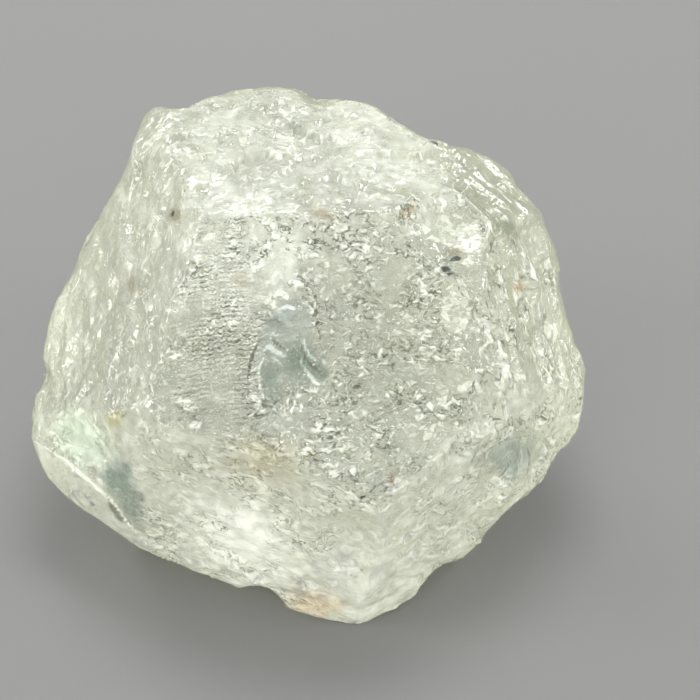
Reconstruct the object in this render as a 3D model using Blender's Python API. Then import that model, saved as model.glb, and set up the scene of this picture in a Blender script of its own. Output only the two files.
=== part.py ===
# Rough topaz crystal, lying on its flat cleavage face.
#
# The stone is one solid. Every crystal face and break is cut from a block as a plane,
# then chips, ledges and etch marks are worn into the faces, and the stone is laid on
# its cleavage. All but the last step is in millimetres, in the frame of someone facing
# the front: +X to the right, +Y away from them, +Z up, the heart of the stone at zero.

import bpy
import bmesh
from math import cos, exp, floor, pi, radians, sin
from mathutils import Matrix, Vector, noise

# Driving dimensions
WIDTH = 32.0  # mm from side to side, as the front is seen
LEAN_BACK = 48.0  # degrees that the front leans back when the stone lies on its cleavage
SURFACE_STEP = 0.34  # mm between the points of the skin that the wear is carved in
TRIANGLES = 9600  # what the carved skin is thinned to, as its flat stretches need few
METRE = 0.001  # metres in one millimetre

# A face is (bearing, lean, distance). The bearing is the way it looks round the front view,
# in degrees from +X towards +Z. The lean is how far it turns to the front, 90 for straight
# at the viewer and negative for the back. The distance is from the heart, in mm.
OUTLINE_FACES = {
    "right upper": (16.5, 0, 15.31),
    "shoulder low": (24.0, 0, 15.60),
    "shoulder": (39.0, 0, 15.92),
    "shoulder high": (52.0, 0, 15.60),
    "top right": (65.3, 0, 14.67),
    "brow right": (78.0, 0, 15.00),
    "brow": (91.8, 0, 15.60),
    "brow left": (100.5, 0, 15.68),
    "left upper": (155.0, 0, 14.43),
    "left": (166.0, 0, 14.95),
    "left lower": (177.0, 0, 15.75),
    "heel": (-160.6, 0, 16.62),
    "heel low": (-139.0, 0, 15.95),
    "bottom left": (-122.0, 0, 14.50),
    "bottom left low": (-113.9, 0, 13.95),
    "bottom left tip": (-108.1, 0, 14.20),
    "tip": (-86.5, 0, 15.85),
    "bottom right": (-50.0, 0, 14.61),
    "bottom right high": (-45.0, 0, 14.60),
    "right lower": (-21.2, 0, 15.84),
    "right": (-8.0, 0, 15.95),
}
FRONT_FACES = {
    "front left": (176.0, 77.0, 11.35),
    "front right": (8.0, 83.0, 10.70),
    "top": (86.0, 34.0, 12.75),
    "top corner": (128.0, 24.0, 15.60),
    "upper right": (52.0, 22.0, 14.60),
    "right side": (8.0, 29.0, 13.75),
    "left side": (166.0, 36.0, 12.20),
    "lower left band": (-136.0, 14.0, 15.45),
    "lower left": (-150.0, 40.0, 13.10),
    "bottom front left": (-110.0, 38.0, 11.20),
    "bottom front right": (-56.0, 30.0, 12.95),
    "lower right": (-22.0, 30.0, 13.75),
}
BACK_FACES = {
    "back": (-60.0, -86.0, 12.60),
    "back top": (82.0, -44.0, 12.70),
    "back upper left": (132.0, -34.0, 14.10),
    "back left": (176.0, -40.0, 12.90),
    "back lower left": (-146.0, -28.0, 14.30),
    "back lower right": (-38.0, -30.0, 13.50),
    "back right": (4.0, -42.0, 12.60),
    "back upper right": (48.0, -38.0, 13.20),
}
REST_FACE = (-90.0, -LEAN_BACK, 10.30)  # the basal cleavage, the one truly flat face
REST_TRIM = 0.35  # mm that the cleavage is trimmed by after the wear

# A chip is (bearing, lean, radius, depth, stretch). It is a shell-shaped scoop, cut by a ball
# that goes so deep, in mm, into the surface that lies that way from the heart. The stretch
# draws the ball out from front to back, which turns a scoop in the rim into a notch.
CHIPS = {
    "horn notch": (115.0, 4, 2.0, 0.30, 4.0),
    "brow notch": (87.0, 4, 1.6, 0.12, 4.0),
    "shoulder notch": (70.0, 4, 3.0, 0.12, 4.0),
    "shoulder dip": (63.5, 4, 6.5, 0.46, 3.0),
    "right dip": (11.5, 4, 8.0, 0.24, 3.0),
    "left dip": (143.5, 4, 8.0, 0.24, 2.5),
    "left step": (158.5, 4, 1.8, 0.14, 5.0),
    "side notch": (-176.5, 4, 1.2, 0.06, 4.0),
    "bottom notch": (-101.5, 4, 1.6, 0.16, 5.0),
    "bottom right dip": (-58.0, 4, 3.5, 0.10, 3.0),
    "corner dip": (-25.0, 4, 3.0, 0.06, 3.0),
    "front window": (-140.0, 87, 9.0, 0.32, 1.0),
    "glassy scoop": (-15.0, 42, 8.0, 0.80, 1.0),
    "glassy scoop low": (-34.0, 45, 7.0, 0.60, 1.0),
    "glassy scoop high": (6.0, 44, 5.0, 0.45, 1.0),
    "bright flat": (43.0, 46, 6.0, 0.50, 1.0),
    "heel shell": (-160.0, 25, 9.0, 0.22, 1.0),
    "crown shell": (112.0, 42, 9.0, 0.36, 1.0),
    "tip shell": (-84.0, 34, 7.0, 0.18, 1.0),
    "back shell": (60.0, -52, 10.0, 0.90, 1.0),
    "back flake": (150.0, -40, 8.0, 0.80, 1.0),
    "back right flake": (-12.0, -42, 8.0, 0.80, 1.0),
    "back top flake": (104.0, -26, 8.0, 0.60, 1.0),
}
RIPPLE = (0.015, 1.10)  # height and spacing of the rings in a chip, mm
RAGGED = (0.16, 2.4)  # height and size of the unevenness that keeps a chip's rim from being round

# Ledges are growth steps that run along a face. A set is (bearing, lean, run, spacing,
# height): the face they lie on, the bearing that they run along, and their size in mm.
LEDGES = {
    "right side": (8.0, 29.0, -62.0, 1.9, 0.22),
    "upper right": (52.0, 22.0, -34.0, 1.7, 0.20),
    "left side": (166.0, 36.0, 84.0, 2.3, 0.14),
    "top": (86.0, 34.0, 4.0, 2.4, 0.16),
    "bottom front left": (-110.0, 38.0, -38.0, 1.5, 0.20),
    "bottom front right": (-56.0, 30.0, 40.0, 2.6, 0.16),
    "front": (176.0, 77.0, 0.0, 2.2, 0.10),
    "walls left": (176.0, -12.0, 78.0, 2.2, 0.22),
    "walls right": (4.0, -16.0, 100.0, 2.0, 0.22),
    "walls top": (84.0, -14.0, 0.0, 2.2, 0.22),
    "back": (-60.0, -86.0, 35.0, 2.6, 0.20),
}
LEDGE_HOLD = 14.0  # how closely a set of ledges keeps to its own face
RISER = 14.0  # how sharply a ledge steps up
WANDER = ((3.6, 0.55), (1.1, 0.30))  # (size in mm, share of a ledge) of the bends in their edges
DRIFT = 0.08  # share of a ledge that the edges drift across for each ledge of length

# Plates are the flat little faces that a break or an etched face is made of. A layer of
# them is (size in mm, tilt), the tilt as a slope.
PLATES = ((4.6, 0.045), (2.1, 0.055))
SWELL = (7.0, 0.30)  # size and height of the slow swellings under the plates, mm


def facing(bearing, lean):
    # Unit vector of a direction given as a face's is.
    around, towards = radians(bearing), radians(lean)
    return Vector((cos(around) * cos(towards), -sin(towards), sin(around) * cos(towards)))


def all_faces():
    faces = {**OUTLINE_FACES, **FRONT_FACES, **BACK_FACES, "rest": REST_FACE}
    return [(facing(bearing, lean), distance) for bearing, lean, distance in faces.values()]


def surface_point(direction):
    # Where a line from the heart leaves the cut block.
    ahead = [(normal.dot(direction), distance) for normal, distance in all_faces()]
    return direction * min(distance / share for share, distance in ahead if share > 0.01)


def cut_block():
    # The bare crystal, every face a plane.
    block = bmesh.new()
    bmesh.ops.create_cube(block, size=3 * WIDTH)
    for normal, distance in all_faces():
        everything = block.verts[:] + block.edges[:] + block.faces[:]
        cut = bmesh.ops.bisect_plane(
            block, geom=everything, dist=1e-5, plane_co=normal * distance, plane_no=normal, clear_outer=True
        )
        rim = [item for item in cut["geom_cut"] if isinstance(item, bmesh.types.BMEdge)]
        if rim:
            bmesh.ops.contextual_create(block, geom=rim)
    bmesh.ops.recalc_face_normals(block, faces=block.faces)
    mesh = bpy.data.meshes.new("cut block")
    block.to_mesh(mesh)
    block.free()
    return mesh


def with_modifier(mesh, kind, **settings):
    # The mesh as a modifier leaves it.
    helper = bpy.data.objects.new("helper", mesh)
    bpy.context.scene.collection.objects.link(helper)
    modifier = helper.modifiers.new(kind, kind)
    for name, value in settings.items():
        setattr(modifier, name, value)
    graph = bpy.context.evaluated_depsgraph_get()
    made = bpy.data.meshes.new_from_object(helper.evaluated_get(graph))
    bpy.data.objects.remove(helper)
    return made


def chip_balls():
    # Each chip's ball, and the point beside it that the blow fell on.
    balls = []
    for bearing, lean, radius, depth, stretch in CHIPS.values():
        towards = facing(bearing, lean)
        skin = surface_point(towards)
        struck = skin + facing(bearing + 60, 0) * radius / 3
        balls.append((skin + towards * (radius - depth), radius, stretch, struck))
    return balls


def chipped(point, ball):
    # A point inside the ball is taken back to its skin, which is ringed as such breaks are.
    centre, radius, stretch, struck = ball
    offset = point - centre
    offset.y /= stretch
    skin = radius + RIPPLE[0] * sin(2 * pi * (point - struck).length / RIPPLE[1])
    skin += RAGGED[0] * noise.noise(point / RAGGED[1])
    if offset.length >= skin:
        return point
    offset *= skin / offset.length
    offset.y *= stretch
    return centre + offset


def ledge(point, along, across, spacing, height):
    # A saw-tooth of terraces across a face, with bends in their edges.
    bends = sum(share * noise.noise(point / size) for size, share in WANDER)
    steps = (point.dot(across) + DRIFT * point.dot(along)) / spacing + bends
    share = steps - floor(steps)
    riser = 1 / (1 + exp(-(share - 0.5) * RISER))
    return height * (riser - share)


def ledge_sets():
    # Each set with the way its ledges run and the way they climb.
    sets = []
    for bearing, lean, run, spacing, height in LEDGES.values():
        normal = facing(bearing, lean)
        along = facing(run, 0)
        along = (along - normal * along.dot(normal)).normalized()
        sets.append((normal, along, normal.cross(along), spacing, height))
    return sets


def scattered(place):
    # A vector that differs from place to place, the same each run.
    return Vector([noise.noise(place * 5.3 + Vector((way, 0.5, 0.5))) for way in (11.5, 23.5, 37.5)])


def plates(point, size, tilt):
    # The height of the plate that a point is on. Each plate has its own tilt and level.
    place = point / size
    centre = noise.voronoi(place)[1][0]
    lean = scattered(centre)
    return size * tilt * ((place - centre).dot(lean) * 2 + 0.5 * lean.x)


def unevenness(point):
    size, height = SWELL
    return height * noise.noise(point / size) + sum(plates(point, *layer) for layer in PLATES)


def wear(mesh):
    # Moves every point of the skin by the plates, the ledges and then the chips.
    balls = chip_balls()
    sets = ledge_sets()
    moved = []
    for vertex in mesh.vertices:
        point, normal = vertex.co.copy(), vertex.normal.copy()
        height = unevenness(point)
        for face_normal, along, across, spacing, tall in sets:
            share = exp(-LEDGE_HOLD * (1 - normal.dot(face_normal)))
            if share > 0.02:
                height += share * ledge(point, along, across, spacing, tall)
        point += normal * height
        for ball in balls:
            point = chipped(point, ball)
        moved.append(point)
    for vertex, point in zip(mesh.vertices, moved):
        vertex.co = point
    return mesh


def lay_down(mesh):
    # Trims the cleavage flat, turns it to the ground, and centres the stone on its base.
    stone = bmesh.new()
    stone.from_mesh(mesh)
    normal, distance = facing(*REST_FACE[:2]), REST_FACE[2] - REST_TRIM
    everything = stone.verts[:] + stone.edges[:] + stone.faces[:]
    cut = bmesh.ops.bisect_plane(
        stone, geom=everything, dist=1e-5, plane_co=normal * distance, plane_no=normal, clear_outer=True
    )
    rim = [item for item in cut["geom_cut"] if isinstance(item, bmesh.types.BMEdge)]
    flat = bmesh.ops.contextual_create(stone, geom=rim)["faces"]
    bmesh.ops.triangulate(stone, faces=flat)
    bmesh.ops.recalc_face_normals(stone, faces=stone.faces)
    stone.transform(Matrix.Rotation(radians(-LEAN_BACK), 4, "X"))
    low = Vector([min(vertex.co[axis] for vertex in stone.verts) for axis in range(3)])
    high = Vector([max(vertex.co[axis] for vertex in stone.verts) for axis in range(3)])
    base = Vector(((low.x + high.x) / 2, (low.y + high.y) / 2, low.z))
    stone.transform(Matrix.Scale(METRE * WIDTH / (high.x - low.x), 4) @ Matrix.Translation(-base))
    stone.to_mesh(mesh)
    stone.free()
    return mesh


def topaz():
    # Clear, very pale green-yellow, as the uncoloured stone is.
    material = bpy.data.materials.new("topaz")
    material.use_nodes = True
    shader = material.node_tree.nodes["Principled BSDF"]
    shader.inputs["Base Color"].default_value = (0.80, 0.84, 0.70, 1)
    shader.inputs["Metallic"].default_value = 0.0
    shader.inputs["Roughness"].default_value = 0.15
    shader.inputs["IOR"].default_value = 1.62
    shader.inputs["Transmission Weight"].default_value = 1.0
    return material


def main():
    for old in list(bpy.data.objects):
        bpy.data.objects.remove(old)
    skin = with_modifier(cut_block(), "REMESH", mode="VOXEL", voxel_size=SURFACE_STEP)
    worn = wear(skin)
    triangles = sum(len(polygon.vertices) - 2 for polygon in worn.polygons)
    thinned = with_modifier(worn, "DECIMATE", decimate_type="COLLAPSE", ratio=TRIANGLES / triangles)
    stone = bpy.data.objects.new("topaz_crystal", lay_down(thinned))
    stone.data.materials.append(topaz())
    bpy.context.scene.collection.objects.link(stone)


main()
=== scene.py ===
# Rough topaz crystal: the dressed stone on a pale table, seen from above its front.
# The stone's form comes from the frame. Here it gets its etched skin, its colour and its light.

from math import cos, hypot, radians, sin

import bmesh
import bpy
import numpy as np
from mathutils import Matrix, Vector, noise


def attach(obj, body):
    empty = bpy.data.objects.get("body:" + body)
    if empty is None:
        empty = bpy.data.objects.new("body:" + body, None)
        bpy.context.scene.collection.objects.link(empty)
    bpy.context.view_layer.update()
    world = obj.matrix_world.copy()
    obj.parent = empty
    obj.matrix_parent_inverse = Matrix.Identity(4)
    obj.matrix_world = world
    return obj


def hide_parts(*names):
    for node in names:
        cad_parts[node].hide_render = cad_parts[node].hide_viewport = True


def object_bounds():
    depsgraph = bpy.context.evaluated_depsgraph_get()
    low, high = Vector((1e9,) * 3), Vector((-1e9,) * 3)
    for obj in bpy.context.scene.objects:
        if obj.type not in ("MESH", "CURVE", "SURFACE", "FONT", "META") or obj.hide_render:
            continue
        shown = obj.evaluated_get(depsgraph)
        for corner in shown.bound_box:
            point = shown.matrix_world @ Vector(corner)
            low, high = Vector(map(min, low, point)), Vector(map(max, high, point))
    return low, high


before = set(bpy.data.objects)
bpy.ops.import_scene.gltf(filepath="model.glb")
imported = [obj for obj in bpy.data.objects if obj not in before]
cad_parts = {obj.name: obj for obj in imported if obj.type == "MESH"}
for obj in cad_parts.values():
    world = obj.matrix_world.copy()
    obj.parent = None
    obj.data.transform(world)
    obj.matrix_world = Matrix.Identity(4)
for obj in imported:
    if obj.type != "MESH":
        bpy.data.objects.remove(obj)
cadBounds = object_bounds()
mm = 0.001
print("frame loaded")

# The photograph: the stone's edges in it, in pixels of a 700 by 700 picture.
photo = {
    "size": 700,
    "left": 29.0, "right": 587.0, "top": 84.0, "bottom": 625.0,
    "elevation": 48.0,  # degrees that the camera looks down, as the stone lies back by them
    "lens": 300.0,  # mm, a long lens as the outline shows little perspective
    "sensor": 36.0,  # mm
}

# The nodes that are used most, and what math and vector nodes do
mathNode, vectorNode = "ShaderNodeMath", "ShaderNodeVectorMath"
rangeNode, mixNode = "ShaderNodeMapRange", "ShaderNodeMix"
multiply, add, subtract, multiplyAdd, largest = (
    {"operation": name} for name in ("MULTIPLY", "ADD", "SUBTRACT", "MULTIPLY_ADD", "MAXIMUM"))


def linear(hexColour):
    # An sRGB hex colour as the linear values that the shader takes.
    parts = [int(hexColour[i:i + 2], 16) / 255 for i in (0, 2, 4)]
    return [p / 12.92 if p <= 0.04045 else ((p + 0.055) / 1.055) ** 2.4 for p in parts] + [1.0]


def addNode(tree, kind, settings=None, inputs=None):
    # Adds a node and sets its properties. Each input takes a value, or a link from another's output.
    node = tree.nodes.new(kind)
    for name, value in (settings or {}).items():
        setattr(node, name, value)
    for name, value in (inputs or {}).items():
        if isinstance(value, bpy.types.NodeSocket):
            tree.links.new(value, node.inputs[name])
        else:
            node.inputs[name].default_value = value
    return node


def newMaterial(name):
    material = bpy.data.materials.new(name)
    material.use_nodes = True
    tree = material.node_tree
    tree.nodes.clear()
    return material, tree


# Camera
tilt = radians(photo["elevation"])
viewRight = Vector((1, 0, 0))
viewUp = Vector((0, sin(tilt), cos(tilt)))
viewBack = Vector((0, -cos(tilt), sin(tilt)))
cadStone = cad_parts["topaz_crystal"]


def placeCamera():
    across = [v.co.dot(viewRight) for v in cadStone.data.vertices]
    height = [v.co.dot(viewUp) for v in cadStone.data.vertices]
    depth = [v.co.dot(viewBack) for v in cadStone.data.vertices]
    perPixel = (max(across) - min(across)) / (photo["right"] - photo["left"])
    half = photo["size"] / 2
    midX = (min(across) + max(across)) / 2 - ((photo["left"] + photo["right"]) / 2 - half) * perPixel
    midY = (min(height) + max(height)) / 2 + ((photo["top"] + photo["bottom"]) / 2 - half) * perPixel
    midDepth = (min(depth) + max(depth)) / 2
    distance = photo["size"] * perPixel * photo["lens"] / photo["sensor"]
    data = bpy.data.cameras.new("camera")
    data.lens = photo["lens"]
    data.sensor_width = photo["sensor"]
    data.clip_start = 0.01
    data.clip_end = 20
    camera = bpy.data.objects.new("camera", data)
    bpy.context.scene.collection.objects.link(camera)
    camera.location = viewRight * midX + viewUp * midY + viewBack * (midDepth + distance)
    camera.rotation_euler = viewBack.to_track_quat("Z", "Y").to_euler()
    bpy.context.scene.camera = camera
    return camera


camera = placeCamera()


def photoPixels(places):
    # Where the camera sees points, in pixels of the photograph: across it and down it.
    away = places - np.array(camera.location, np.float32)
    depth = -away @ np.array(viewBack, np.float32)
    scale = photo["size"] * photo["lens"] / photo["sensor"] / depth
    half = photo["size"] / 2
    across = half + away @ np.array(viewRight, np.float32) * scale
    down = half - away @ np.array(viewUp, np.float32) * scale
    return across, down


print("camera placed")


# Skin
skin = {
    "grid": 0.190,  # mm between points, so that the skin stays under 200,000 triangles
    "soften": (0.5, 10),  # how strongly and how often the frame's little facets are rounded
    "clouds": ((1.3, 0.35), (0.55, 0.35)),  # mm across and how much the whiteness swings
    # Patches, in mm across, where the etching is strong, between smooth ones
    "clusters": {"size": 1.9, "mean": 0.95, "swing": 1.2, "least": 0.4, "most": 1.3},
    "zoneLeast": 0.04,  # a zone with a smaller share of a point adds no relief to it
    "facing": 0.05,  # how squarely a point faces the camera (1 is fully) to take the photograph's marks
    "edge": 4.0,  # pixels on each side of a window's or flake's outline over which it fades
    "bareRelief": 0.5,  # the share of the relief that windows and flakes keep
    "patchEdge": {"size": 0.625, "swing": 0.5},  # mm and strength of the noise at patches' edges
    "waver": {"size": 0.45, "swing": 0.6},  # and of the noise along cracks
    "crackTip": 0.06,  # the square of the share of its width that a crack keeps at its ends
    "crackFar": 9.0,  # half widths from a crack, past which it isn't measured
    # The band along the outline, by how little it faces the camera, fading out again towards the
    # back, the share of the etching, relief and whiteness that it keeps, and its tint, which is painted light
    # seen through the stone's edge
    "rim": {"full": 0.12, "none": 0.55, "back": 0.6, "etch": 0.3, "relief": 0.45, "frost": 0.9,
            "tint": "f6f7e8"},
}


def seen(bearing, lean):
    # A direction as the front is seen: bearing round it from the right towards the top,
    # lean towards the viewer, both in degrees.
    a, b = radians(bearing), radians(lean)
    return viewRight * (cos(a) * cos(b)) + viewUp * (sin(a) * cos(b)) + viewBack * sin(b)


# Each zone: the way it faces, the bearing its grain runs along, how closely it keeps to its
# facet, how deeply it is etched and how white. Plates are little tilted planes, as (size across
# the grain, size along it, slope), folds are rounded swells and creases are sharp valleys, both
# as (across, along, depth), and pits are the finest marks, as (across, along). Sizes are in mm.
zones = {
    "top": {
        "faces": (86, 34), "grain": 10, "hold": 9, "etch": 0.5, "frost": 0.25,
        "plates": ((2.20, 2.80, 0.20), (0.70, 0.90, 0.16)),
        "folds": (1.1, 1.4, 0.10), "creases": (1.6, 2.4, 0.03), "pits": (0.36, 0.42),
    },
    "left": {
        "faces": (166, 36), "grain": 84, "hold": 9, "etch": 0.3, "frost": 0.18,
        "plates": ((1.60, 3.20, 0.13), (0.60, 0.90, 0.12)),
        "folds": (1.1, 1.6, 0.08), "creases": (1.2, 3.2, 0.03), "pits": (0.36, 0.44),
    },
    "front": {
        "faces": (170, 82), "grain": 4, "hold": 9, "etch": 1.05, "frost": 0.22,
        "plates": ((1.40, 2.40, 0.16), (0.50, 0.90, 0.24)),
        "folds": (0.9, 1.6, 0.10), "creases": (0.8, 2.2, 0.04), "pits": (0.27, 0.40),
    },
    "right": {
        "faces": (8, 29), "grain": -62, "hold": 9, "etch": 0.9, "frost": 0.19,
        "plates": ((1.60, 3.00, 0.30), (0.60, 1.30, 0.24)),
        "folds": (1.0, 1.8, 0.12), "creases": (1.1, 3.0, 0.06), "pits": (0.32, 0.56),
    },
    "upperRight": {
        "faces": (52, 22), "grain": -32, "hold": 12, "etch": 0.33, "frost": 0.09,
        "plates": ((1.80, 4.50, 0.26), (0.70, 1.80, 0.12)),
        "folds": (0.9, 2.4, 0.12), "creases": (1.2, 3.6, 0.05), "pits": (0.38, 0.70),
    },
    "lowerRight": {
        "faces": (-22, 32), "grain": -50, "hold": 9, "etch": 0.95, "frost": 0.42,
        "plates": ((2.40, 3.20, 0.28), (0.80, 1.20, 0.18)),
        "folds": (1.2, 1.8, 0.12), "creases": (1.4, 2.4, 0.06), "pits": (0.38, 0.52),
    },
    "bottomLeft": {
        "faces": (-110, 38), "grain": -38, "hold": 9, "etch": 0.75, "frost": 0.42,
        "plates": ((1.40, 3.40, 0.18), (0.55, 1.20, 0.14)),
        "folds": (0.9, 2.0, 0.10), "creases": (0.9, 3.0, 0.05), "pits": (0.34, 0.56),
    },
    "bottomRight": {
        "faces": (-56, 30), "grain": 40, "hold": 9, "etch": 0.55, "frost": 0.42,
        "plates": ((2.00, 2.80, 0.15), (0.70, 1.00, 0.12)),
        "folds": (1.2, 1.6, 0.10), "creases": (1.2, 2.4, 0.04), "pits": (0.38, 0.48),
    },
    "heel": {
        "faces": (-150, 30), "grain": -40, "hold": 14, "etch": 0.6, "frost": 0.4,
        "plates": ((2.40, 4.00, 0.16), (0.90, 1.60, 0.06)),
        "folds": (1.4, 2.6, 0.08), "creases": (1.6, 3.4, 0.03), "pits": (0.46, 0.56),
    },
    "back": {
        "faces": (60, -80), "grain": 30, "hold": 5, "etch": 0.7, "frost": 0.25,
        "plates": ((1.60, 2.40, 0.28), (0.60, 0.90, 0.20)),
        "folds": (1.1, 1.6, 0.10), "creases": (1.4, 2.4, 0.05), "pits": (0.38, 0.52),
    },
}
reliefOffsets = {"plates": 11.3, "folds": 8.1, "creases": 5.7}  # so that no noise repeats another
creaseWidth = 0.12  # how near to 0 the noise has to come for a crease
halfway = Vector((0.5, 0.5, 0.5))  # the middle of the range of a cell's values


def grainAxes(zone):
    facing = seen(*zone["faces"])
    along = seen(zone["grain"], 0)
    along = (along - facing * along.dot(facing)).normalized()
    return facing, along, facing.cross(along)


def plateHeight(place):
    # Each cell of the noise is a plane with a tilt of its own.
    centre = noise.voronoi(place)[1][0]
    return (place - centre).dot(noise.cell_vector(centre * 1.001) - halfway) * 2


def noiseAt(points, size=1.0):
    # Smooth noise from about -1 to 1 at each point, with swells of that size.
    return np.array([noise.noise(Vector(p)) for p in points / size], np.float32)


def zoneRelief(zone, points):
    # The height in mm of one zone's relief, at points that are given in mm, and its pits' pattern.
    facing, along, across = grainAxes(zone)
    local = points @ np.array([across, along, facing], np.float32).T
    height = np.zeros(len(points), np.float32)
    for number, (wide, long, slope) in enumerate(zone["plates"]):
        places = local / np.array([wide, long, wide]) + reliefOffsets["plates"] * (number + 1)
        height += wide * slope * np.array([plateHeight(Vector(p)) for p in places], np.float32)
    wide, long, depth = zone["folds"]
    height += depth * noiseAt(local / np.array([wide, long, wide]) + reliefOffsets["folds"])
    wide, long, depth = zone["creases"]
    valley = np.abs(noiseAt(local / np.array([wide, long, wide]) + reliefOffsets["creases"]))
    height -= depth * np.clip(1 - valley / creaseWidth, 0, 1)
    wide, long = zone["pits"]
    return height, local / np.array([wide, long, wide])


def denseStone():
    mesh = bpy.data.meshes.new_from_object(cadStone)
    stone = bpy.data.objects.new("etched_topaz", mesh)
    bpy.context.scene.collection.objects.link(stone)
    remesh = stone.modifiers.new("remesh", "REMESH")
    remesh.mode = "VOXEL"
    remesh.voxel_size = skin["grid"] * mm
    smooth = stone.modifiers.new("soften", "SMOOTH")
    smooth.factor, smooth.iterations = skin["soften"]
    graph = bpy.context.evaluated_depsgraph_get()
    dense = bpy.data.meshes.new_from_object(stone.evaluated_get(graph))
    stone.modifiers.clear()
    stone.data = dense
    return stone


# What the photograph shows at a place of its own: the middle in its pixels, half the width and
# height, the bearing of the width, how soft the edge is, and what changes there. "etch" and
# "frost" give the share that the skin keeps (over 1 adds), "stainAndPaintedLight" is a colour with its
# strength, for real stains and specks, and for painted shade in the windows and a painted highlight
# on the heel, and "ladder" is how fully rungs take the place of the strokes.
patches = {
    "topBloom": {"at": (320, 165), "reach": (190, 95), "bearing": 5, "edge": 0.7, "frost": 1.3},
    "shoulderBloom": {"at": (385, 135), "reach": (70, 38), "bearing": -35, "edge": 0.5, "frost": 1.3},
    "middleBloom": {"at": (245, 265), "reach": (60, 60), "bearing": 0, "edge": 0.8, "frost": 1.8},
    "middleDull": {"at": (385, 350), "reach": (110, 60), "bearing": 0, "edge": 0.9, "frost": 0.8},
    # Painted highlight: extra white and a mint tint on the heel
    "heelPaintedHighlight": {"at": (80, 440), "reach": (34, 22), "bearing": -45, "edge": 0.6, "frost": 2.0,
                   "stainAndPaintedLight": ("e4f6e8", 0.6)},
    "heelBand": {"at": (84, 497), "reach": (76, 13), "bearing": -42, "edge": 0.4, "etch": 0.15,
                 "frost": 0.9},
    "clearFoot": {"at": (365, 585), "reach": (60, 40), "bearing": 20, "edge": 0.7, "etch": 0.4,
                  "frost": 1.4},
    # Painted shade: darker tints where the view through the clear windows is darker
    "windowGreen": {"at": (298, 360), "reach": (13, 17), "bearing": 10, "edge": 0.8,
                    "stainAndPaintedLight": ("a3b5a6", 0.7)},
    "windowRoot": {"at": (272, 390), "reach": (10, 20), "bearing": 10, "edge": 0.8,
                   "stainAndPaintedLight": ("b4c6c4", 0.6)},
    "windowEye": {"at": (276, 323), "reach": (13, 6), "bearing": -50, "edge": 0.8,
                  "stainAndPaintedLight": ("aeb0b0", 0.6)},
    "windowNook": {"at": (320, 372), "reach": (12, 7), "bearing": -40, "edge": 0.8,
                   "stainAndPaintedLight": ("93a79b", 0.6)},
    # Painted shade in the heel's window
    "heelBlue": {"at": (118, 480), "reach": (14, 17), "bearing": -30, "edge": 0.7,
                 "stainAndPaintedLight": ("9db2ae", 0.7)},
    "heelShade": {"at": (132, 508), "reach": (11, 20), "bearing": 25, "edge": 0.7,
                  "stainAndPaintedLight": ("a3aba2", 0.6)},
    "sideOlive": {"at": (506, 226), "reach": (15, 8), "bearing": -30, "edge": 0.8,
                  "stainAndPaintedLight": ("a7ab90", 0.7)},
    # Painted shade in the corner's window
    "cornerShade": {"at": (512, 452), "reach": (34, 16), "bearing": 10, "edge": 0.9,
                    "stainAndPaintedLight": ("c3c9c6", 0.6)},
    "brightFoot": {"at": (245, 540), "reach": (52, 34), "bearing": -30, "edge": 0.8, "frost": 2.2},
    "ladder": {"at": (222, 330), "reach": (42, 115), "bearing": 0, "edge": 0.5, "ladder": 1.0,
               "etch": 0.9, "frost": 0.8},
    "rustCrescent": {"at": (323, 214), "reach": (13, 4), "bearing": -6, "edge": 0.8,
                     "stainAndPaintedLight": ("b98a55", 0.5)},
    "rustShoulder": {"at": (410, 212), "reach": (8, 5), "bearing": 40, "edge": 0.9,
                     "stainAndPaintedLight": ("dba777", 0.45)},
    "rustRight": {"at": (520, 287), "reach": (8, 6), "bearing": 0, "edge": 0.9,
                  "stainAndPaintedLight": ("e6b06c", 0.55)},
    "rustUpper": {"at": (455, 252), "reach": (9, 4), "bearing": 0, "edge": 0.9,
                  "stainAndPaintedLight": ("d3a070", 0.4)},
    "oliveSpeck": {"at": (175, 215), "reach": (6, 7), "bearing": 0, "edge": 0.8,
                   "stainAndPaintedLight": ("7d7038", 0.7)},
    "brownSpeck": {"at": (130, 285), "reach": (4, 8), "bearing": 0, "edge": 0.8,
                   "stainAndPaintedLight": ("9a7a35", 0.6)},
    "pinkSpeck": {"at": (241, 282), "reach": (7, 5), "bearing": 0, "edge": 0.9,
                  "stainAndPaintedLight": ("d9b59a", 0.3)},
    "ochreLeft": {"at": (115, 418), "reach": (7, 9), "bearing": 0, "edge": 0.9,
                  "stainAndPaintedLight": ("d9c98a", 0.6)},
    "warmMiddle": {"at": (265, 460), "reach": (34, 18), "bearing": 0, "edge": 1.1,
                   "stainAndPaintedLight": ("f3dfb4", 0.4)},
    "rustFoot": {"at": (312, 605), "reach": (26, 12), "bearing": -5, "edge": 1.1,
                 "stainAndPaintedLight": ("edc08c", 0.5)},
    "redSpeck": {"at": (392, 481), "reach": (3, 5), "bearing": 0, "edge": 0.8,
                 "stainAndPaintedLight": ("a06046", 0.7)},
}


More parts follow.
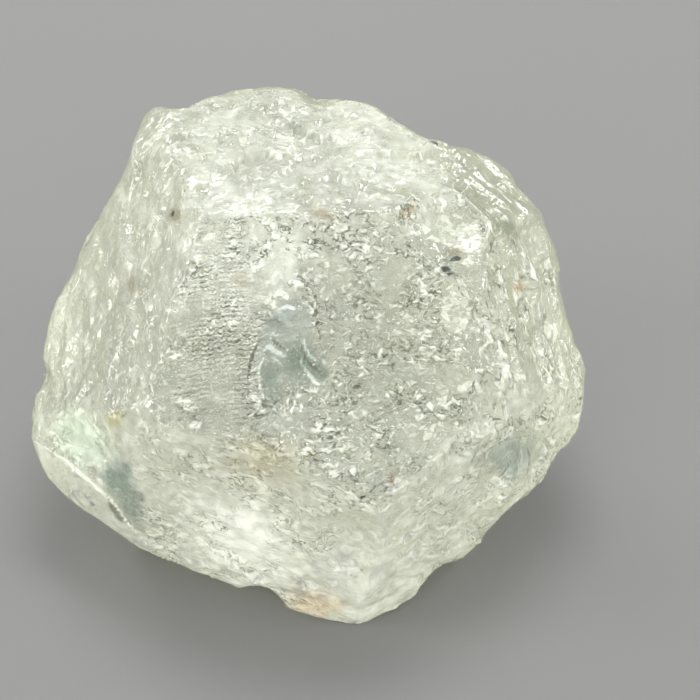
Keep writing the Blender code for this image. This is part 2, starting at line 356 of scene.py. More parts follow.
# Flakes are flat splits just under the skin, with painted white glints for the light they reflect,
# and windows are bare breaks, clear and darker with painted shade. Each is an outline in the photograph's
# pixels.
flakes = {
    "shoulder": ((420, 234), (427, 216), (449, 213), (454, 230), (461, 222), (478, 219), (484, 247),
                 (470, 257), (452, 247), (436, 242)),
    "vein": ((443, 288), (456, 281), (468, 290), (474, 310), (466, 330), (450, 336), (440, 322),
             (441, 304)),
    "middleTop": ((264, 262), (276, 240), (287, 236), (286, 252), (297, 256), (300, 274), (288, 280),
                  (282, 292), (270, 286)),
    "middleSplinter": ((246, 216), (258, 220), (270, 236), (262, 242), (250, 230)),
    "bead": ((432, 396), (440, 388), (450, 386), (448, 402), (441, 410), (431, 408)),
    "beadLow": ((421, 438), (430, 424), (437, 424), (431, 438), (423, 444)),
    "leafA": ((455, 392), (466, 374), (474, 372), (472, 384), (462, 396)),
    "leafB": ((452, 431), (466, 424), (474, 430), (470, 436), (456, 436)),
    "leafC": ((458, 460), (474, 458), (470, 465), (458, 467)),
    "foot": ((222, 532), (240, 528), (262, 540), (270, 556), (258, 566), (240, 560), (226, 548)),
    "footEdge": ((262, 586), (272, 590), (284, 600), (278, 602), (266, 594)),
    "heelA": ((70, 436), (86, 424), (92, 428), (80, 448), (72, 452)),
    "heelB": ((84, 452), (98, 446), (104, 460), (94, 470), (84, 464)),
    "rightEdge": ((546, 326), (558, 322), (566, 334), (560, 342), (548, 338)),
    "topSplinter": ((214, 160), (228, 150), (232, 162), (222, 168)),
}
windows = {
    "middle": ((262, 330), (272, 316), (284, 300), (300, 296), (312, 316), (310, 338), (320, 356),
               (330, 374), (318, 384), (298, 386), (282, 378), (270, 392), (258, 376), (256, 352)),
    "heel": ((104, 462), (130, 460), (134, 480), (146, 494), (140, 520), (128, 518), (116, 500),
             (104, 486)),
    "corner": ((492, 456), (506, 443), (522, 440), (530, 452), (524, 474), (508, 484), (498, 474)),
    "nick": ((440, 258), (448, 254), (454, 260), (450, 270), (442, 268)),
    "side": ((500, 218), (516, 224), (512, 236), (498, 232)),
}

# Fine cracks and conchoidal ripples: their course in the photograph's pixels, half the width
# in mm, how deep they cut, and the strength of the painted highlight along them (below 0, of the painted
# shade).
cracks = {
    "longFracture": {"path": ((450, 272), (456, 280), (460, 292), (466, 298), (473, 303), (480, 318),
                              (484, 326), (492, 340), (495, 352)),
                     "half": 0.09, "depth": 1.0, "white": -0.7},
    "fractureFork": {"path": ((466, 298), (472, 312), (474, 322), (482, 330), (492, 336)),
                     "half": 0.07, "depth": 0.8, "white": -0.6},
    "fractureGleam": {"path": ((455, 270), (464, 284), (476, 298), (488, 318)),
                      "half": 0.07, "depth": 0.5, "white": 0.7},
    "shortFracture": {"path": ((402, 470), (380, 484), (362, 498), (352, 512)),
                      "half": 0.07, "depth": 0.8, "white": -0.7},
    "rippleA": {"path": ((303, 336), (304, 346), (309, 355), (318, 362)),
                "half": 0.17, "depth": 0.8, "white": 1.0},
    "rippleB": {"path": ((300, 356), (305, 370), (314, 381), (324, 388)),
                "half": 0.17, "depth": 0.8, "white": 1.0},
    "rippleC": {"path": ((300, 344), (305, 358), (314, 368), (328, 376)),
                "half": 0.14, "depth": 0.8, "white": -0.8},
    "rippleD": {"path": ((262, 336), (254, 352), (250, 366), (247, 380)),
                "half": 0.15, "depth": 0.8, "white": -0.9},
    "fanA": {"path": ((262, 352), (268, 346), (276, 352), (285, 355)),
             "half": 0.20, "depth": 0.6, "white": 0.9},
    "fanB": {"path": ((268, 356), (276, 360), (284, 366)), "half": 0.12, "depth": 0.6, "white": 0.7},
    "fanC": {"path": ((264, 356), (258, 372), (260, 388), (266, 404)),
             "half": 0.14, "depth": 0.6, "white": 0.9},
    "fanD": {"path": ((272, 338), (279, 345), (286, 350)), "half": 0.15, "depth": 0.6, "white": -0.8},
    "fanE": {"path": ((270, 362), (276, 368), (282, 378)), "half": 0.08, "depth": 0.6, "white": -0.7},
    "veilA": {"path": ((270, 318), (280, 322), (290, 330)), "half": 0.08, "depth": 0.5, "white": -0.7},
    "veilB": {"path": ((308, 302), (316, 310), (314, 318)), "half": 0.14, "depth": 0.6, "white": -1.0},
    "veilC": {"path": ((316, 300), (314, 310), (322, 320)), "half": 0.08, "depth": 0.6, "white": 0.9},
    "capA": {"path": ((272, 298), (281, 292), (290, 300)), "half": 0.22, "depth": 0.6, "white": 0.9},
    "capB": {"path": ((276, 310), (288, 306), (298, 310)), "half": 0.16, "depth": 0.6, "white": 0.8},
    "stripeA": {"path": ((290, 396), (284, 412)), "half": 0.11, "depth": 0.5, "white": 1.0},
    "stripeB": {"path": ((297, 396), (290, 415)), "half": 0.11, "depth": 0.5, "white": 1.0},
    "stripeC": {"path": ((304, 399), (299, 415)), "half": 0.11, "depth": 0.5, "white": 1.0},
    "stripeD": {"path": ((293, 397), (287, 413)), "half": 0.06, "depth": 0.5, "white": -0.9},
    "stripeE": {"path": ((300, 398), (294, 415)), "half": 0.06, "depth": 0.5, "white": -0.9},
    "curl": {"path": ((366, 272), (370, 286), (378, 296), (384, 294)),
             "half": 0.11, "depth": 0.8, "white": -0.7},
    "cornerA": {"path": ((470, 472), (486, 452), (504, 440), (530, 436), (556, 444)),
                "half": 0.08, "depth": 1.0, "white": -0.55},
    "cornerB": {"path": ((520, 438), (522, 458), (516, 482)), "half": 0.09, "depth": 0.8, "white": 0.7},
    "cornerC": {"path": ((526, 442), (530, 460), (526, 480)), "half": 0.08, "depth": 0.8, "white": -0.6},
    "cornerD": {"path": ((500, 462), (508, 452), (516, 450)), "half": 0.08, "depth": 0.6, "white": 0.6},
    "cornerE": {"path": ((496, 480), (506, 470), (512, 458)), "half": 0.08, "depth": 0.6, "white": -0.6},
    "shelfA": {"path": ((468, 470), (476, 452), (490, 442), (506, 434)),
               "half": 0.08, "depth": 1.0, "white": -0.5},
    "shelfB": {"path": ((455, 452), (470, 446), (486, 440)), "half": 0.06, "depth": 0.8, "white": -0.5},
    "heelCrease": {"path": ((29, 437), (66, 460), (93, 484), (112, 501), (129, 524), (150, 548)),
                   "half": 0.15, "depth": 1.0, "white": 0.8},
    "heelDark": {"path": ((108, 500), (118, 516), (132, 524)), "half": 0.24, "depth": 0.8, "white": -0.8},
}


def fromSegment(pixels, start, end):
    # How far along a straight line each pixel lies, from 0 to 1, and how far from it.
    across, down = pixels
    (ax, ay), (bx, by) = start, end
    wide, high = bx - ax, by - ay
    along = np.clip(((across - ax) * wide + (down - ay) * high) / (wide ** 2 + high ** 2), 0, 1)
    return along, np.hypot(across - ax - along * wide, down - ay - along * high)


def insideShares(pixels, facing, outlines):
    # 1 well inside any of the outlines, 0 outside, and a slope of some pixels between.
    across, down = pixels
    deepest = np.full(len(across), -np.inf, np.float32)
    for outline in outlines.values():
        away = np.full(len(across), np.inf, np.float32)
        inside = np.zeros(len(across), bool)
        for start, end in zip(outline, outline[1:] + outline[:1]):
            away = np.minimum(away, fromSegment(pixels, start, end)[1])
            (ax, ay), (bx, by) = start, end
            if ay != by:
                left = across < (bx - ax) * (down - ay) / (by - ay) + ax
                inside ^= ((ay > down) != (by > down)) & left
        deepest = np.maximum(deepest, np.where(inside, away, -away))
    shares = np.clip(deepest / skin["edge"] / 2 + 0.5, 0, 1)
    return np.where(facing > skin["facing"], shares, 0).astype(np.float32)


def crackFields(pixels, facing, points):
    # How far each point is from the nearest crack, as a share of its half width, and that crack's
    # depth and the strength of its painted highlight, below 0 its painted shade. A crack thins out towards
    # its ends, and noise wavers its sides.
    perPixel = (cadBounds[1][0] - cadBounds[0][0]) / mm / (photo["right"] - photo["left"])
    nearest = np.full(len(facing), skin["crackFar"], np.float32)
    depth, white = np.zeros_like(nearest), np.zeros_like(nearest)
    waver = 1 + skin["waver"]["swing"] * noiseAt(points, skin["waver"]["size"])
    for crack in cracks.values():
        pieces = list(zip(crack["path"], crack["path"][1:]))
        lengths = [hypot(end[0] - start[0], end[1] - start[1]) for start, end in pieces]
        for number, (start, end) in enumerate(pieces):
            along, away = fromSegment(pixels, start, end)
            share = (sum(lengths[:number]) + along * lengths[number]) / sum(lengths)
            taper = np.sqrt(np.clip(4 * share * (1 - share), skin["crackTip"], 1))
            away = away * perPixel / (crack["half"] * waver * taper)
            closer = (facing > skin["facing"]) & (away < nearest)
            nearest[closer] = away[closer]
            depth[closer], white[closer] = crack["depth"], crack["white"]
    return nearest, depth, white


def patchShares(pixels, facing, points, patch):
    # How much of a patch each point gets. Noise breaks its edge, and the back gets none.
    turn = radians(patch["bearing"])
    x, y = pixels[0] - patch["at"][0], patch["at"][1] - pixels[1]
    wide, high = patch["reach"]
    away = np.hypot((x * cos(turn) + y * sin(turn)) / wide, (y * cos(turn) - x * sin(turn)) / high)
    near = np.nonzero((away < 2) & (facing > skin["facing"]))[0]
    ragged = 1 + skin["patchEdge"]["swing"] * noiseAt(points[near], skin["patchEdge"]["size"])
    shares = np.zeros(len(points), np.float32)
    shares[near] = np.clip((1 - away[near] * ragged) / patch["edge"] + 0.5, 0, 1)
    return shares


def zoneShares(normals):
    # How much of each point a zone has, by how closely the point faces the zone's way.
    shares = np.array([np.exp(zone["hold"] * (normals @ np.array(seen(*zone["faces"]), np.float32) - 1))
                       for zone in zones.values()])
    return shares / shares.sum(axis=0)


def seamGrit(mesh, leading):
    # 0 where two zones meet, so that their strokes don't clash there, and 1 elsewhere.
    edges = np.empty(len(mesh.edges) * 2, np.int32)
    mesh.edges.foreach_get("vertices", edges)
    ends = edges.reshape(-1, 2)
    seams = ends[leading[ends[:, 0]] != leading[ends[:, 1]]]
    grit = np.ones(len(mesh.vertices), np.float32)
    grit[seams.ravel()] = 0
    return grit


def rimShares(facing):
    # How far each point is in the band along the outline: 1 along the outline, 0 on the front and at the
    # back.
    rim = skin["rim"]
    front = np.clip((rim["none"] - facing) / (rim["none"] - rim["full"]), 0, 1)
    return front * np.clip((facing + rim["back"]) / rim["back"], 0, 1)


def fade(values, share, keep):
    # Scales values in place: by keep where the share is 1, and not at all where it is 0.
    values *= 1 + share * (keep - 1)


def readVectors(collection, name, count):
    flat = np.empty(count * 3, np.float32)
    collection.foreach_get(name, flat)
    return flat.reshape(-1, 3)


# What the mesh tells the material at each point, besides the grain and the tint
skinFields = ("etch", "grit", "frost", "crack", "crackDepth", "crackLightAndShade", "flake", "window", "ladder")


def etchedSkin():
    stone = denseStone()
    mesh = stone.data
    count = len(mesh.vertices)
    places = readVectors(mesh.vertices, "co", count)
    normals = readVectors(mesh.vertices, "normal", count)
    points = places / mm
    pixels = photoPixels(places)
    facing = normals @ np.array(viewBack, np.float32)

    # The zones' relief, with the pattern of the pits for the material
    shares = zoneShares(normals)
    leading = shares.argmax(axis=0)
    height = np.zeros(count, np.float32)
    grain = np.zeros((count, 3), np.float32)
    for number, zone in enumerate(zones.values()):
        chosen = np.nonzero(shares[number] > skin["zoneLeast"])[0]
        relief, pits = zoneRelief(zone, points[chosen])
        height[chosen] += shares[number][chosen] * relief
        mine = leading[chosen] == number
        grain[chosen[mine]] = pits[mine]

    # How deeply each point is etched, how white it is and how it is tinted
    etch = sum(share * zone["etch"] for share, zone in zip(shares, zones.values()))
    frost = sum(share * zone["frost"] for share, zone in zip(shares, zones.values()))
    tint = np.ones((count, 4), np.float32)
    for size, swing in skin["clouds"]:
        frost *= 1 + swing * noiseAt(points, size)
    clusters = skin["clusters"]
    swings = clusters["mean"] + clusters["swing"] * noiseAt(points, clusters["size"])
    etch *= np.clip(swings, clusters["least"], clusters["most"])
    # The band along the outline: smoother and less white, with a painted tint for the light through the
    # stone's edge
    rimBand, rim = rimShares(facing), skin["rim"]
    fade(etch, rimBand, rim["etch"])
    fade(height, rimBand, rim["relief"])
    fade(frost, rimBand, rim["frost"])
    fade(tint[:, :3], rimBand[:, None], np.array(linear(rim["tint"])[:3]))

    # The photograph's own marks
    flake = insideShares(pixels, facing, flakes)
    window = insideShares(pixels, facing, windows)
    ladder = np.zeros(count, np.float32)
    for patch in patches.values():
        share = patchShares(pixels, facing, points, patch)
        fade(etch, share, patch.get("etch", 1))
        fade(frost, share, patch.get("frost", 1))
        fade(height, share, min(patch.get("etch", 1), 1))
        ladder = np.maximum(ladder, share * patch.get("ladder", 0))
        # Real stains, painted shade in the windows and a painted highlight on the heel
        if "stainAndPaintedLight" in patch:
            colour, strength = patch["stainAndPaintedLight"]
            fade(tint[:, :3], share[:, None] * strength, np.array(linear(colour)[:3]))
    frost = np.clip(frost, 0, 1)
    fade(height, np.clip(np.maximum(window, flake) * 2 - 1, 0, 1), skin["bareRelief"])
    places = np.clip(places + normals * height[:, None] * mm, cadBounds[0], cadBounds[1])
    crack, crackDepth, crackLightAndShade = crackFields(photoPixels(places), facing, places / mm)

    mesh.vertices.foreach_set("co", places.astype(np.float32).ravel())
    fields = (etch, seamGrit(mesh, leading), frost, crack, crackDepth, crackLightAndShade, flake, window, ladder)
    for name, values in zip(skinFields, fields):
        mesh.attributes.new(name, "FLOAT", "POINT").data.foreach_set("value", values.astype(np.float32))
    mesh.attributes.new("grain", "FLOAT_VECTOR", "POINT").data.foreach_set("vector", grain.ravel())
    mesh.color_attributes.new("tint", "FLOAT_COLOR", "POINT").data.foreach_set("color", tint.ravel())
    mesh.shade_smooth()
    mesh.materials.clear()
    mesh.update()
    print("skin etched:", count, "points,", sum(len(p.vertices) - 2 for p in mesh.polygons), "triangles")
    return stone


stone = etchedSkin()

# Topaz: a clear, hard silicate, its faces dulled by natural etching. That gives the eye a
# watery body with a faint green-yellow tint, and a frosted, sparkling skin, partly from its
# relief and partly from painted highlights and painted shade on crests, cracks and flakes. The patterns'
# scales are per pit of the zones above, so a stroke is about 0.2 by 0.3 mm. A pair of numbers
# is where a mark starts in its noise and where it is full, unless its comment says otherwise.
topaz = {
    "ior": 1.62,
    "body": "f9faea",
    "absorb": "eff2d8",
    "density": 14.0,  # per metre
    "clearRoughness": 0.02,
    "etchedRoughness": 0.06,
    "strokes": {"Scale": 0.66, "Detail": 2.2, "Roughness": 0.6, "Distortion": 0.5},
    "breaks": {"Scale": 0.42, "Detail": 1.0},  # patches of broken skin
    "ragged": {"Scale": 1.3, "Detail": 1.0},  # breaks up edges and lines
    "facets": {"Scale": 0.8},
    "pitDepth": 0.42,  # mm over the whole swing of the strokes' noise, which uses a third of it
    "tiltDepth": 0.085,  # mm, of the facets
    "crackDepth": 0.05,  # mm
    "crackLine": (1.0, 0.4),  # half widths from its middle
    "breakRange": (0.34, 0.46),
    "smoothShare": 0.5,  # the relief between the broken patches
    "rungs": (0.485, 0.645),  # what the rungs give in place of the strokes' noise
    "rungColumns": 0.75,  # per pit
    "rungWander": 2.3,  # pits
    "rungPieces": (0.40, 0.54),
    # Painted highlights on the crests, and painted shade in the thin dark lines beside them
    "crests": (0.54, 0.70),
    "crestHighlight": 0.6,
    "lineLevel": 0.490,  # the strokes' noise where a dark line runs
    "lineWidth": 0.055,  # on each side of that
    "linePieces": (0.44, 0.52),
    "lineShade": "666d61",
    "edges": {"window": (1.6, 1.0, 1.9), "flake": (0.8, 0.85, 1.05)},  # raggedness and the pair
    # The flakes' painted glint
    "flakeGlint": (0.15, 0.6),  # the least and the most white
    # The windows' painted shade, darker and cooler
    "windowShade": "dbe4ea",
    "windowFrost": 0.9,
    "windowEtch": 0.4,
}


def raggedEdge(tree, name, fields, ragged):
    # A window's or flake's share, its edge broken by noise.
    swing, low, high = topaz["edges"][name]
    edge = addNode(tree, mathNode, multiplyAdd, {0: ragged, 1: swing, 2: fields[name]}).outputs[0]
    return addNode(tree, rangeNode, None, {"Value": edge, "From Min": low, "From Max": high}).outputs[0]


def ladderRungs(tree, grain, ragged):
    # Rows one pit wide, each column of them shifted by chance.
    parts = addNode(tree, "ShaderNodeSeparateXYZ", None, {0: grain}).outputs
    step = addNode(tree, mathNode, multiply, {0: parts["Y"], 1: topaz["rungColumns"]}).outputs[0]
    step = addNode(tree, mathNode, {"operation": "FLOOR"}, {0: step}).outputs[0]
    chance = addNode(tree, "ShaderNodeTexWhiteNoise", {"noise_dimensions": "1D"}, {"W": step}).outputs
    row = addNode(tree, mathNode, multiplyAdd, {0: ragged, 1: topaz["rungWander"], 2: parts["X"]}).outputs[0]
    row = addNode(tree, mathNode, add, {0: row, 1: chance["Value"]}).outputs[0]
    row = addNode(tree, mathNode, {"operation": "PINGPONG"}, {0: row, 1: 0.5}).outputs[0]
    low, high = topaz["rungs"]
    ends = {"Value": row, "From Max": 0.5, "To Min": low, "To Max": high}
    return addNode(tree, rangeNode, None, ends).outputs[0]


def facetTilts(tree, grain, cells):
    # The height of little facets, each with a tilt of its own, in pits.
    away = addNode(tree, vectorNode, subtract, {0: grain, 1: cells["Position"]}).outputs[0]
    slope = addNode(tree, vectorNode, subtract, {0: cells["Color"], 1: halfway}).outputs[0]
    return addNode(tree, vectorNode, {"operation": "DOT_PRODUCT"}, {0: away, 1: slope}).outputs["Value"]


def paintedShadeLines(tree, strokes, ragged, marks):
    # Painted shade: thin dark lines beside the crests, in pieces.
    line = addNode(tree, mathNode, subtract, {0: strokes, 1: topaz["lineLevel"]}).outputs[0]
    line = addNode(tree, mathNode, {"operation": "ABSOLUTE"}, {0: line}).outputs[0]
    ends = {"Value": line, "From Min": topaz["lineWidth"], "From Max": 0.0}
    line = addNode(tree, rangeNode, None, ends).outputs[0]
    line = addNode(tree, mathNode, multiply, {0: line, 1: marks}).outputs[0]
    low, high = topaz["linePieces"]
    pieces = addNode(tree, rangeNode, None, {"Value": ragged, "From Min": low, "From Max": high}).outputs[0]
    return addNode(tree, mathNode, multiply, {0: line, 1: pieces}).outputs[0]


def makeTopaz():
    material, tree = newMaterial("etched_topaz")
    fields = {name: addNode(tree, "ShaderNodeAttribute", {"attribute_name": name}).outputs["Fac"]
              for name in skinFields}
    grain = addNode(tree, "ShaderNodeAttribute", {"attribute_name": "grain"}).outputs["Vector"]
    tint = addNode(tree, "ShaderNodeAttribute", {"attribute_name": "tint"}).outputs["Color"]
    strokes, breaks, ragged = (
        addNode(tree, "ShaderNodeTexNoise", None, {**topaz[name], "Vector": grain}).outputs["Fac"]
        for name in ("strokes", "breaks", "ragged"))

    # Windows and flakes are smoother than the skin round them
    window = raggedEdge(tree, "window", fields, ragged)
    flake = raggedEdge(tree, "flake", fields, ragged)
    bareness = addNode(tree, mathNode, largest, {0: window, 1: flake}).outputs[0]
    ends = {"Value": bareness, "To Min": 1.0, "To Max": topaz["windowEtch"]}
    bare = addNode(tree, rangeNode, None, ends).outputs[0]
    etch = addNode(tree, mathNode, multiply, {0: fields["etch"], 1: bare}).outputs[0]

    # The ladder's rungs take the strokes' place
    low, high = topaz["rungPieces"]
    there = addNode(tree, rangeNode, None, {"Value": ragged, "From Min": low, "From Max": high}).outputs[0]
    ladder = addNode(tree, mathNode, multiply, {0: there, 1: fields["ladder"]}).outputs[0]
    rungs = ladderRungs(tree, grain, ragged)
    strokes = addNode(tree, mixNode, None, {0: ladder, 2: strokes, 3: rungs}).outputs[0]

    # Relief: strokes, little tilted facets between them, and the cracks' cuts
    low, high = topaz["breakRange"]
    broken = addNode(tree, rangeNode, None, {"Value": breaks, "From Min": low, "From Max": high}).outputs[0]
    broken = addNode(tree, mathNode, largest, {0: broken, 1: ladder}).outputs[0]
    depth = addNode(tree, rangeNode, None, {"Value": broken, "To Min": topaz["smoothShare"]}).outputs[0]
    depth = addNode(tree, mathNode, multiply, {0: depth, 1: etch}).outputs[0]
    depth = addNode(tree, mathNode, multiply, {0: depth, 1: fields["grit"]}).outputs[0]
    cells = addNode(tree, "ShaderNodeTexVoronoi", None, {**topaz["facets"], "Vector": grain}).outputs
    facets = facetTilts(tree, grain, cells)
    relief = addNode(tree, mathNode, subtract, {0: strokes, 1: 0.5}).outputs[0]
    relief = addNode(tree, mathNode, multiply, {0: relief, 1: topaz["pitDepth"]}).outputs[0]
    relief = addNode(tree, mathNode, multiplyAdd, {0: facets, 1: topaz["tiltDepth"], 2: relief}).outputs[0]
    relief = addNode(tree, mathNode, multiply, {0: relief, 1: depth}).outputs[0]
    ends = {"Value": fields["crack"], "To Min": topaz["crackDepth"], "To Max": 0.0}
    cut = addNode(tree, rangeNode, None, ends).outputs[0]
    cut = addNode(tree, mathNode, multiply, {0: cut, 1: fields["crackDepth"]}).outputs[0]
    relief = addNode(tree, mathNode, subtract, {0: relief, 1: cut}).outputs[0]
    bump = addNode(tree, "ShaderNodeBump", None, {"Strength": 1.0, "Distance": mm, "Height": relief})

    # Painted highlights on the crests and painted shade in thin dark lines beside them, both only where the
    # skin is broken, and the same along the cracks
    low, high = topaz["crests"]
    marks = addNode(tree, mathNode, multiply, {0: broken, 1: etch}).outputs[0]
    crest = addNode(tree, rangeNode, None, {"Value": strokes, "From Min": low, "From Max": high}).outputs[0]
    white = addNode(tree, mathNode, multiply, {0: crest, 1: marks}).outputs[0]
    low, high = topaz["crackLine"]
    crack = addNode(tree, rangeNode, None, {"Value": fields["crack"], "From Min": low, "From Max": high})
    crack = addNode(tree, mathNode, multiply, {0: crack.outputs[0], 1: fields["crackLightAndShade"]}).outputs[0]
    white = addNode(tree, mathNode, largest, {0: white, 1: crack}).outputs[0]
    line = paintedShadeLines(tree, strokes, ragged, marks)
    line = addNode(tree, mathNode, multiply, {0: line, 1: etch}).outputs[0]
    crack = addNode(tree, mathNode, multiply, {0: crack, 1: -1.0}).outputs[0]
    dark = addNode(tree, mathNode, {**largest, "use_clamp": True}, {0: line, 1: crack}).outputs[0]

    # How much of the skin scatters light, with painted glints on the flakes and painted highlights on the
    # crests and cracks
    low, high = topaz["flakeGlint"]
    chance = addNode(tree, "ShaderNodeSeparateColor", None, {"Color": cells["Color"]}).outputs["Red"]
    paintedGlint = addNode(tree, rangeNode, None, {"Value": chance, "To Min": low, "To Max": high}).outputs[0]
    paintedGlint = addNode(tree, mathNode, multiply, {0: paintedGlint, 1: flake}).outputs[0]
    ends = {"Value": window, "To Min": 1.0, "To Max": topaz["windowFrost"]}
    veil = addNode(tree, rangeNode, None, ends).outputs[0]
    frost = addNode(tree, mathNode, multiply, {0: veil, 1: fields["frost"]}).outputs[0]
    frost = addNode(tree, mathNode, largest, {0: frost, 1: paintedGlint}).outputs[0]
    frost = addNode(tree, mathNode, multiplyAdd, {0: white, 1: topaz["crestHighlight"], 2: frost}).outputs[0]
    clear = addNode(tree, mathNode, {**subtract, "use_clamp": True}, {0: 1.0, 1: frost}).outputs[0]

    # Colour, with painted shade in the windows and along the dark lines and cracks, gloss and the clear body
    blend = {"data_type": "RGBA", "blend_type": "MULTIPLY"}
    colour = addNode(tree, mixNode, blend, {0: 1.0, 6: linear(topaz["body"]), 7: tint}).outputs[2]
    colour = addNode(tree, mixNode, blend, {0: window, 6: colour, 7: linear(topaz["windowShade"])}).outputs[2]
    colour = addNode(tree, mixNode, blend, {0: dark, 6: colour, 7: linear(topaz["lineShade"])}).outputs[2]
    ends = {"Value": etch, "To Min": topaz["clearRoughness"], "To Max": topaz["etchedRoughness"]}
    gloss = addNode(tree, rangeNode, None, ends).outputs[0]
    shader = addNode(tree, "ShaderNodeBsdfPrincipled", None, {
        "IOR": topaz["ior"], "Base Color": colour, "Roughness": gloss,
        "Normal": bump.outputs["Normal"], "Transmission Weight": clear})
    absorb = addNode(tree, "ShaderNodeVolumeAbsorption", None, {
        "Color": linear(topaz["absorb"]), "Density": topaz["density"]})
    addNode(tree, "ShaderNodeOutputMaterial", None, {
        "Surface": shader.outputs["BSDF"], "Volume": absorb.outputs["Volume"]})
    return material


stone.data.materials.append(makeTopaz())
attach(stone, "root")
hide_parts("topaz_crystal")
print("topaz made")

# Ilmenite: small black grains, tabular crystals with natural flat faces, caught in the topaz's
# skin. That gives the eye crisp dark specks with a faint metallic gleam. Places are in the
# photograph's pixels, and sizes in mm.
grains = {
    "colour": "4b4c46", "roughness": 0.32, "metallic": 0.6,
    "places": {
        "upper": {"at": (455, 259), "size": 0.36, "squash": 0.62, "turn": 20, "thick": 0.14},
        "lower": {"at": (447, 270), "size": 0.42, "squash": 0.66, "turn": -25, "thick": 0.14},
        "mark": {"at": (362, 497), "size": 0.42, "squash": 0.40, "turn": 30, "thick": 0.12},
        "rim": {"at": (434, 143), "size": 0.34, "squash": 0.50, "turn": -10, "thick": 0.12},
        "left": {"at": (173, 214), "size": 0.20, "squash": 0.80, "turn": 10, "thick": 0.10},
    },
    "corners": 6,
    "proud": 0.03,
    "bevel": 0.03,
    "top": 0.88,  # the top's share of the size, inside the bevel
    "spread": (0.88, 0.24),  # a corner's least share of the size, and what chance adds to it
    "steps": (1.3, 2.7),  # through the cells of chance, from corner to corner and grain to grain
    "around": 0.3,  # how far from its middle the skin's tilt is taken too
    "pits": {"size": 0.12, "depth": 0.03, "strength": 0.6},
}


def skinTilt(start, way):
    # The way the skin faces where a ray meets it, averaged with four places around.
    around = grains["around"]
    normals = [stone.ray_cast(start + (viewRight * a + viewUp * b) * mm, way)[2]
               for a, b in ((0, 0), (around, 0), (-around, 0), (0, around), (0, -around))]
    return sum(normals[1:], normals[0]).normalized()


def addGrain(shape, number, one):
    # A plate with worn upper edges, laid in the skin where the camera sees its pixel.
    x = (one["at"][0] / photo["size"] - 0.5) * photo["sensor"]
    y = (0.5 - one["at"][1] / photo["size"]) * photo["sensor"]
    way = (viewRight * x + viewUp * y - viewBack * photo["lens"]).normalized()
    place = stone.ray_cast(camera.location, way)[1]
    normal = skinTilt(camera.location, way)
    side = viewRight.cross(normal).normalized()
    turned = Matrix.Rotation(radians(one["turn"]), 3, normal)
    across, along = turned @ side.cross(normal), turned @ side
    count, proud = grains["corners"], grains["proud"]
    least, extra = grains["spread"]
    cornerStep, grainStep = grains["steps"]
    rings = []
    for level, share in ((proud, grains["top"]), (proud - grains["bevel"], 1.0), (proud - one["thick"], 1.0)):
        ring = []
        for corner in range(count):
            chance = noise.cell(Vector((corner * cornerStep, number * grainStep, 0)))
            reach = one["size"] * share * (least + extra * chance)
            angle = radians(360 / count * corner)
            spot = across * cos(angle) * reach + along * sin(angle) * reach * one["squash"]
            ring.append(shape.verts.new(place + (spot + normal * level) * mm))
        rings.append(ring)
    shape.faces.new(rings[0])
    shape.faces.new(rings[-1][::-1])
    for upper, lower in zip(rings, rings[1:]):
        for corner in range(count):
            after = (corner + 1) % count
            shape.faces.new((upper[corner], lower[corner], lower[after], upper[after]))


def makeIlmenite():
    material, tree = newMaterial("ilmenite")
    pits = grains["pits"]
    texture = addNode(tree, "ShaderNodeTexNoise", None, {"Scale": 1 / (pits["size"] * mm), "Detail": 2.0})
    bump = addNode(tree, "ShaderNodeBump", None, {
        "Strength": pits["strength"], "Distance": pits["depth"] * mm, "Height": texture.outputs["Fac"]})
    shader = addNode(tree, "ShaderNodeBsdfPrincipled", None, {
        "Base Color": linear(grains["colour"]), "Metallic": grains["metallic"],
        "Roughness": grains["roughness"], "Normal": bump.outputs["Normal"]})
    addNode(tree, "ShaderNodeOutputMaterial", None, {"Surface": shader.outputs["BSDF"]})
    return material


def makeGrains():
    bpy.context.view_layer.update()
    mesh = bpy.data.meshes.new("dark_grains")
    shape = bmesh.new()
    for number, one in enumerate(grains["places"].values()):
        addGrain(shape, number, one)
    bmesh.ops.recalc_face_normals(shape, faces=shape.faces)
    shape.to_mesh(mesh)
    shape.free()
    mesh.materials.append(makeIlmenite())
    piece = bpy.data.objects.new("dark_grains", mesh)
    bpy.context.scene.collection.objects.link(piece)
    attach(piece, "root")
    print("dark grains made")


makeGrains()

# Table and light. The table is board with matt paint, which gives the eye an even grey without
# a gleam. Lengths are in metres, and power in watts.
table = {"colour": "7d7c7a", "roughness": 0.8, "width": 3.0}
lights = {
    "above": {"from": (0.02, 0.14, 0.42), "size": (0.20, 0.14), "power": 0.81, "colour": "ffffff"},
    "backLeft": {"from": (-0.26, 0.36, 0.17), "size": (0.20, 0.14), "power": 0.81, "colour": "ffffff"},
    "backRight": {"from": (0.30, 0.34, 0.15), "size": (0.18, 0.14), "power": 0.61, "colour": "fdfeff"},
    "left": {"from": (-0.45, -0.04, 0.17), "size": (0.16, 0.16), "power": 0.68, "colour": "fffefa"},
    "right": {"from": (0.45, -0.06, 0.14), "size": (0.14, 0.14), "power": 0.47, "colour": "ffffff"},
    "frontLeft": {"from": (-0.28, -0.38, 0.12), "size": (0.18, 0.10), "power": 0.41, "colour": "fffef8"},
    "frontRight": {"from": (0.30, -0.38, 0.10), "size": (0.16, 0.10), "power": 0.34, "colour": "fffef8"},
}
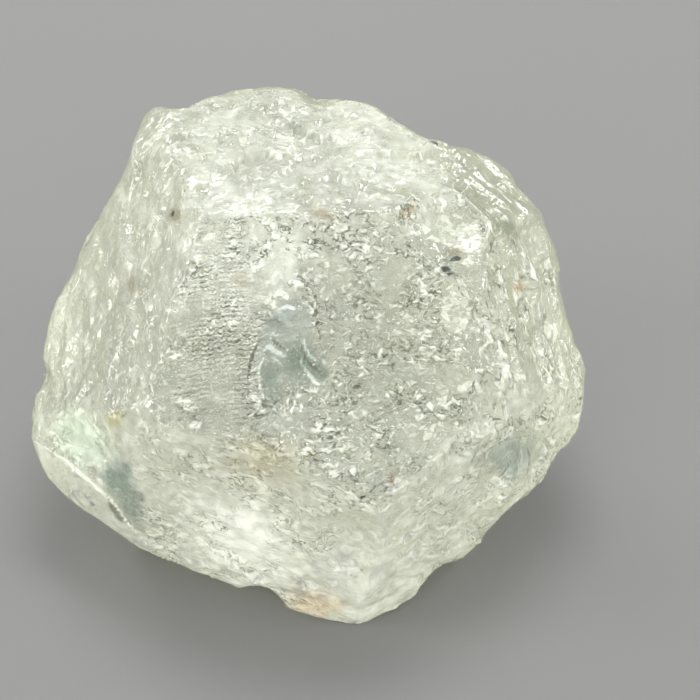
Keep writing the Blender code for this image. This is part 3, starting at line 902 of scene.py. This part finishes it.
sky = {
    "low": ("fdfdfb", 1.7),  # colour and strength of the softboxes round the table, down at its level
    "high": ("dfe3e8", 1.15),  # and of the ceiling
    "turn": 0.42,  # the height, as a share of straight up, by which one has become the other
}


def makeTable():
    half = table["width"] / 2
    mesh = bpy.data.meshes.new("table")
    mesh.from_pydata([(-half, -half, 0), (half, -half, 0), (half, half, 0), (-half, half, 0)],
                     [], [(0, 1, 2, 3)])
    top = bpy.data.objects.new("table", mesh)
    bpy.context.scene.collection.objects.link(top)
    material, tree = newMaterial("matt_paint")
    shader = addNode(tree, "ShaderNodeBsdfPrincipled", None, {
        "Base Color": linear(table["colour"]), "Roughness": table["roughness"]})
    addNode(tree, "ShaderNodeOutputMaterial", None, {"Surface": shader.outputs["BSDF"]})
    mesh.materials.append(material)


def makeLights():
    for name, light in lights.items():
        data = bpy.data.lights.new(name, "AREA")
        data.shape = "RECTANGLE"
        data.size, data.size_y = light["size"]
        data.energy = light["power"]
        data.color = linear(light["colour"])[:3]
        lamp = bpy.data.objects.new(name, data)
        bpy.context.scene.collection.objects.link(lamp)
        lamp.location = light["from"]
        lamp.rotation_euler = Vector(light["from"]).to_track_quat("Z", "Y").to_euler()


def makeSky():
    world = bpy.data.worlds.new("sky")
    bpy.context.scene.world = world
    world.use_nodes = True
    tree = world.node_tree
    place = addNode(tree, "ShaderNodeTexCoord")
    split = addNode(tree, "ShaderNodeSeparateXYZ", None, {0: place.outputs["Generated"]})
    level = addNode(tree, rangeNode, {"interpolation_type": "SMOOTHSTEP"}, {
        "Value": split.outputs["Z"], "From Max": sky["turn"]})
    low, high = ([c * strength for c in linear(colour)[:3]] + [1.0]
                 for colour, strength in (sky["low"], sky["high"]))
    blend = addNode(tree, mixNode, {"data_type": "RGBA"}, {0: level.outputs["Result"], 6: low, 7: high})
    tree.links.new(blend.outputs[2], tree.nodes["Background"].inputs["Color"])


makeTable()
makeLights()
makeSky()
scene = bpy.context.scene
scene.view_settings.view_transform = "Standard"
scene.cycles.max_bounces = 10
scene.cycles.transmission_bounces = 10
scene.cycles.glossy_bounces = 6
scene.cycles.sample_clamp_indirect = 5.0
print("table and light made")
